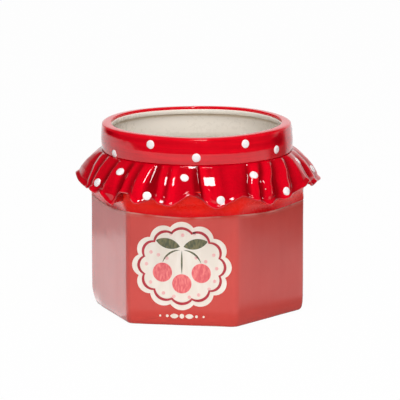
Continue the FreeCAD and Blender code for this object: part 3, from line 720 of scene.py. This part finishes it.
# Inner glaze: the pot is filled with cream glaze and poured out again, so one coat covers floor, wall,
# flare, neck and the inner face of the lip. In the groove under the lip its cream is painted darker and
# browner, as painted shade.
COAT = 0.4
WELL_CORNER_ROUND = 7.6
# The coat's face in the hexagonal well, from the floor's edge up: half widths across flats and levels.
WELL_RINGS = ((53.0, 8.3), (54.0, 10.9), (54.0, 40.0), (54.0, JAR_TOP))
# The coat's face above it, all round, from the frill's seat up: radii and levels.
COAT_RINGS = (
    (67.4, 88.0), (56.0, 99.2), (55.95, 104.0), (55.95, 109.0), (55.95, 113.6), (55.95, 115.0),
    (55.3, 115.4), (54.3, 115.5), (53.95, 115.9), (53.9, 117.0), (53.9, 117.6), (54.0, 118.2), (54.5, 118.5),
)
CREAM_DEEP = (0.92, 0.865, 0.78, 1)
CREAM_THIN_AND_SHADE = (0.64, 0.53, 0.41, 1)
CREAM_SPECK = (0.91, 0.85, 0.76, 1)


def cream_glaze():
    """Satin cream, whiter where it is thick, with a brownish painted shade in the groove under the lip."""
    material, tree, shader = open_material("cream_glaze")
    height = level_on(tree, place_on(tree))
    # Painted shade: the groove under the lip's overhang is coloured darker and browner.
    groove_shade = calculate(tree, "MULTIPLY", ramp(tree, height, 113.4 * MM, 115.0 * MM),
                       ramp(tree, height, 115.9 * MM, 115.5 * MM))
    depth = calculate(tree, "SUBTRACT", 0.9, calculate(tree, "MULTIPLY", groove_shade, 0.9))
    cream = lay_glaze(tree, shader, CREAM_DEEP, CREAM_THIN_AND_SHADE, depth, cloud=0.03, gloss=0.30, peel=0.03,
                      specks=CREAM_SPECK)
    tree.links.new(cream, shader.inputs["Base Color"])
    return material


def well_ring(half_flats, level, outset):
    """A way to place a ring of the coat in the hexagonal well."""
    def place(point):
        angle = angle_of(point)
        return place_at(angle, hexagon_radius(angle, half_flats, WELL_CORNER_ROUND) + outset, level)
    return place


def round_ring(radius, level):
    """A way to place a ring of the coat in the round upper part, which follows the rim's wobble."""
    return lambda point: wobble(place_at(angle_of(point), radius, level))


coat = bmesh.new()
ring = hexagon_ring(coat, FLOOR_FLATS, JAR_CORNER_ROUND)
for vert in coat.verts:
    vert.co.z = (FLOOR_LEVEL + COAT) * MM
for half_flats, level in WELL_RINGS:
    ring = pull_ring(coat, ring, well_ring(half_flats, level, 0.0))
for radius, level in COAT_RINGS:
    ring = pull_ring(coat, ring, round_ring(radius, level))
for radius, level in reversed(COAT_RINGS[:-1]):
    ring = pull_ring(coat, ring, round_ring(radius + COAT, level - COAT / 2))
for half_flats, level in (WELL_RINGS[3], WELL_RINGS[1], WELL_RINGS[0]):
    ring = pull_ring(coat, ring, well_ring(half_flats, level - COAT, COAT * 0.9))
ring = pull_ring(coat, ring, scaled_to(WELL_RINGS[0][0], FLOOR_FLATS, FLOOR_LEVEL))
bmesh.ops.edgeloop_fill(coat, edges=ring)
fire(coat, "inner_glaze", cream_glaze())


# Enamel dots: drops of white enamel touched on with a brush end before the last firing, each a low dome
# that clings to the surface below it. They are a little uneven, and pink at the edge where red bleeds in.
DOT_RADIUS = 2.75
DOT_RISE = 0.65
# Rings of a dot as shares of its radius, and the places round its middle, in degrees and millimetres, whose
# mean gives the way that it faces.
DOT_RINGS = (0.93, 0.80, 0.62, 0.40, 0.18)
DOT_PROBES = ((0, 0), (-1.6, 0), (1.6, 0), (0, -1.8), (0, 1.8))
ENAMEL_WHITE = (0.90, 0.86, 0.855, 1)
ENAMEL_EDGE = (0.80, 0.50, 0.51, 1)
# The dots' places: angle round the pot and level.
BAND_DOTS = (
    (-49.7, 104.9), (-19.4, 114.8), (8.7, 107.7), (39.1, 115.0), (64.0, 108.2), (107, 114.4), (127, 107.4),
    (151, 114.6), (177, 108.1), (204, 114.8), (231, 107.3), (257, 114.2),
)
FRILL_DOTS = (
    (-47.8, 88.4), (-35.5, 96.8), (-15.3, 84.8), (2.5, 96.2), (20.2, 83.6), (40.2, 96.6),
    (56.2, 84.9), (81.5, 98.4), (94.2, 90.6), (114, 86.0), (131, 95.4), (143, 83.1), (163, 92.8),
    (179, 84.2), (196, 94.8), (209, 82.6), (227, 92.0), (241, 84.7), (253.5, 94.0), (264, 86.0),
)


def white_enamel():
    """Bright enamel, very slightly pink where it thins out at the edge of a dot."""
    material, tree, shader = open_material("white_enamel")
    rise = add_node(tree, "ShaderNodeAttribute", attribute_name="rise").outputs["Fac"]
    white = lay_glaze(tree, shader, ENAMEL_WHITE, ENAMEL_EDGE, rise, cloud=0.10, gloss=0.16, peel=0.15)
    tree.links.new(white, shader.inputs["Base Color"])
    return material


def set_dots(name, places, carrier, enamel):
    """Low domes of enamel on a piece, one for each place."""
    surface = BVHTree.FromPolygons([vert.co for vert in carrier.data.vertices],
                                   [face.vertices for face in carrier.data.polygons])
    dots = bmesh.new()
    rise = dots.verts.layers.float.new("rise")
    for index, (angle, level) in enumerate(places):
        inward = place_at(angle, -1, 0).normalized()
        seat = surface.ray_cast(place_at(angle, 100, level), inward)[0]
        facing = Vector()
        for turn, lift in DOT_PROBES:
            facing += surface.ray_cast(place_at(angle + turn, 100, level + lift), inward)[1]
        facing.normalize()
        flat = facing.to_track_quat("Z", "Y").to_matrix()
        made = bmesh.ops.create_circle(dots, cap_ends=False, segments=28, radius=DOT_RADIUS * MM)["verts"]
        rim = list({edge for vert in made for edge in vert.link_edges})
        rings = [(1.0, rim)]
        for share in DOT_RINGS:
            drawn_in = share / rings[-1][0]
            rings.append((share, pull_ring(dots, rings[-1][1], lambda point: point * drawn_in)))
        bmesh.ops.edgeloop_fill(dots, edges=rings[-1][1])
        stretch = 1 + 0.07 * noise.noise(Vector((index, 2.5, 0.3)))
        for share, ring in rings:
            for vert in {vert for edge in ring for vert in edge.verts}:
                along = math.atan2(vert.co.y, vert.co.x)
                rough = noise.noise(Vector((math.cos(along), math.sin(along), index * 3.1)))
                uneven = stretch * (1 + 0.05 * rough)
                start = seat + flat @ (vert.co * uneven) + facing * DOT_RADIUS * MM
                hit, normal = surface.ray_cast(start, -facing, 2 * DOT_RADIUS * MM)[:2]
                if hit is None:
                    hit, normal = surface.find_nearest(start)[:2]
                crown = math.sqrt(max(1 - share ** 2.4, 0.0))
                vert[rise] = min(crown * 2.2, 1.0)
                vert.co = hit + (facing + normal).normalized() * (DOT_RISE * crown + 0.02) * MM
        bmesh.ops.edgeloop_fill(dots, edges=pull_ring(dots, rim, lambda point: point - facing * 0.5 * MM))
    fire(dots, name, enamel)


dot_enamel = white_enamel()
set_dots("band_dots", BAND_DOTS, band_piece, dot_enamel)
set_dots("frill_dots", FRILL_DOTS, frill_piece, dot_enamel)


# Label: a printed transfer slid on to the fired front flat and fired again, so its colours lie in the glaze
# as thin satin layers: a cream scalloped plate, a red line, a sprig of berries and pale spots.
INK_ROUGHNESS = 0.28
# Each layer's node and ink, with the ink's dark and pale colour and how fine its strokes are.
INKS = (
    ("label_transfer", "label_cream", (0.88, 0.80, 0.70, 1), (0.92, 0.85, 0.76, 1), 240.0),
    ("label_border", "label_red", (0.42, 0.014, 0.028, 1), (0.53, 0.028, 0.046, 1), 700.0),
    ("label_berries", "berry_pink", (0.80, 0.11, 0.13, 1), (0.93, 0.24, 0.23, 1), 900.0),
    ("label_leaves", "leaf_green", (0.085, 0.095, 0.05, 1), (0.21, 0.19, 0.085, 1), 800.0),
    ("label_spots", "spot_pink", (0.90, 0.46, 0.45, 1), (0.91, 0.60, 0.56, 1), 900.0),
    ("caption_ornament", "caption_cream", (0.86, 0.74, 0.62, 1), (0.92, 0.84, 0.74, 1), 500.0),
)


def printed_ink(name, deep, pale, scale):
    """Fired print: colour that breaks up a little like a brushed drawing, with a soft gloss."""
    material, tree, shader = open_material(name)
    shader.inputs["Roughness"].default_value = INK_ROUGHNESS
    strokes = mottle(tree, drawn_out(tree, place_on(tree), (1.0, 1.0, 0.35), turn=(0, 0.6, 0)), scale, 3.0)
    colour = mix_colours(tree, ramp(tree, strokes, 0.35, 0.68), deep, pale)
    tree.links.new(colour, shader.inputs["Base Color"])
    return material


for node_name, ink, deep, pale, scale in INKS:
    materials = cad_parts[node_name].data.materials
    materials.clear()
    materials.append(printed_ink(ink, deep, pale, scale))


# Set: a white sweep that the camera sees as white and reflections see as white near and behind the pot, with
# a dark patch painted into its glow to the right in place of a dark flag, soft light from the front, a crisp
# box overhead, a small card at the left, and the camera where the photographer stood.
FLOOR_GLOW = 0.98
PAPER_WHITE = (0.82, 0.82, 0.82, 1)
DARK_ROOM = (0.03, 0.03, 0.03, 1)
ROOM_LIGHT = (0.16, 0.16, 0.16, 1)
PLAIN_WHITE = (1, 1, 1, 1)


def white_floor():
    """Matt white for the camera, with a faint shadow. Reflections see it glow white near and behind the pot,
    with a painted shadow near the pot's foot and a painted dark patch to the right.
    """
    material = bpy.data.materials.new("white_floor")
    material.use_nodes = True
    tree = material.node_tree
    tree.nodes.remove(tree.nodes["Principled BSDF"])
    rays = add_node(tree, "ShaderNodeLightPath").outputs
    seen = calculate(tree, "ADD", rays["Is Camera Ray"], rays["Is Glossy Ray"])
    seen = calculate(tree, "ADD", seen, rays["Is Transmission Ray"], clamp=True)
    paper = add_node(tree, "ShaderNodeBsdfDiffuse", (("Color", PAPER_WHITE),))
    glow = add_node(tree, "ShaderNodeEmission", (("Color", PLAIN_WHITE),))
    where = place_on(tree)
    bearing = add_node(tree, "ShaderNodeVectorMath", ((0, where),), operation="NORMALIZE").outputs[0]

    def away(middle, low, high):
        """A ramp on the distance from a point of the floor."""
        off = add_node(tree, "ShaderNodeVectorMath", ((0, where), (1, middle)), operation="DISTANCE")
        return ramp(tree, off.outputs["Value"], low, high)

    def towards(side, low, high):
        """A ramp on how nearly a place lies in a direction from the pot."""
        near = add_node(tree, "ShaderNodeVectorMath", ((0, bearing), (1, side)), operation="DOT_PRODUCT")
        return ramp(tree, near.outputs["Value"], low, high)

    def darken(light, mask, share):
        """Light taken down by a share where the mask is."""
        kept = calculate(tree, "SUBTRACT", 1.0, calculate(tree, "MULTIPLY", mask, share))
        return calculate(tree, "MULTIPLY", light, kept)

    pot = (0.0, 0.0, 0.0)
    behind = towards((0.0, 1.0, 0.0), 0.60, 0.85)
    white = calculate(tree, "MAXIMUM", away((-0.1, 0.0, 0.0), 0.98, 0.80), behind)
    # Painted reflection: a dark patch in the floor's glow to the right, standing for a dark flag.
    painted_flag = calculate(tree, "MULTIPLY", towards((0.866, 0.5, 0.0), 0.90, 0.97), away(pot, 0.22, 0.40))
    # Painted shadow: near the pot's foot, in front and to the right, the glow that reflections see is taken
    # down.
    shade = calculate(tree, "MULTIPLY", towards((0.6, -0.8, 0.0), 0.1, 0.5), away(pot, 0.115, 0.085))
    table = darken(darken(white, painted_flag, 0.85), shade, 0.7)
    lit = add_node(tree, "ShaderNodeMix", ((0, rays["Is Camera Ray"]), (2, table), (3, 1.0)))
    tree.links.new(lit.outputs[0], glow.inputs["Strength"])
    share = calculate(tree, "MULTIPLY", seen, FLOOR_GLOW)
    both = add_node(tree, "ShaderNodeMixShader", ((0, share), (1, paper.outputs[0]), (2, glow.outputs[0])))
    tree.links.new(both.outputs[0], tree.nodes["Material Output"].inputs["Surface"])
    return material


floor_mesh = bmesh.new()
bmesh.ops.create_grid(floor_mesh, x_segments=4, y_segments=4, size=3.0)
floor_data = bpy.data.meshes.new("floor")
floor_mesh.to_mesh(floor_data)
floor_mesh.free()
floor_data.materials.append(white_floor())
floor = bpy.data.objects.new("floor", floor_data)
bpy.context.scene.collection.objects.link(floor)

world = bpy.data.worlds.new("studio")
bpy.context.scene.world = world
world.use_nodes = True
sky = world.node_tree
rays = add_node(sky, "ShaderNodeLightPath").outputs
toward = add_node(sky, "ShaderNodeTexCoord").outputs["Generated"]
heading = add_node(sky, "ShaderNodeSeparateXYZ", (("Vector", toward),)).outputs
up = heading["Z"]
back = heading["Y"]
wide = calculate(sky, "MULTIPLY", ramp(sky, up, 0.32, 0.0), ramp(sky, back, 0.30, 0.80))
tall = calculate(sky, "MULTIPLY", ramp(sky, up, 0.60, 0.20), ramp(sky, back, 0.82, 0.92))
sweep = calculate(sky, "MAXIMUM", wide, tall)
room = mix_colours(sky, sweep, DARK_ROOM, PLAIN_WHITE)
mirrored = calculate(sky, "ADD", rays["Is Glossy Ray"], rays["Is Transmission Ray"], clamp=True)
surroundings = mix_colours(sky, mirrored, ROOM_LIGHT, room)
seen = mix_colours(sky, rays["Is Camera Ray"], surroundings, PLAIN_WHITE)
sky.links.new(seen, sky.nodes["Background"].inputs["Color"])


def hang_light(name, spot, aim, width, height, watts):
    """A soft box that hangs at a spot and faces a point."""
    lamp = bpy.data.lights.new(name, "AREA")
    lamp.shape = "RECTANGLE"
    lamp.size = width
    lamp.size_y = height
    lamp.energy = watts
    box = bpy.data.objects.new(name, lamp)
    box.location = spot
    box.rotation_euler = (Vector(aim) - Vector(spot)).to_track_quat("-Z", "Y").to_euler()
    bpy.context.scene.collection.objects.link(box)
    return box


hang_light("box_overhead", (0.154, -0.422, 1.20), (0, 0, 0.09), 0.25, 0.48, 8.5)
fill = hang_light("fill_front", (0.26, -1.9, 0.85), (0, 0, 0.06), 1.6, 1.2, 22.5)
fill.visible_glossy = False
# The card lies on the floor, in line with the flat that it is mirrored in.
card = hang_light("card_left", (-0.138, 0.040, 0.002), (-0.138, 0.040, 1.0), 0.26, 0.09, 0.056)
card.rotation_euler = (math.pi, 0, math.radians(141))
card.visible_diffuse = False

lens = bpy.data.cameras.new("camera")
lens.lens = 351.37
lens.sensor_width = 36.0
camera = bpy.data.objects.new("camera", lens)
camera.location = (0.39094, -2.41644, 0.54247)
aim = Vector((0.001512, 0.002021, 0.068897)) - camera.location
camera.rotation_euler = aim.to_track_quat("-Z", "Y").to_euler()
bpy.context.scene.collection.objects.link(camera)
bpy.context.scene.camera = camera
bpy.context.scene.view_settings.view_transform = "Standard"
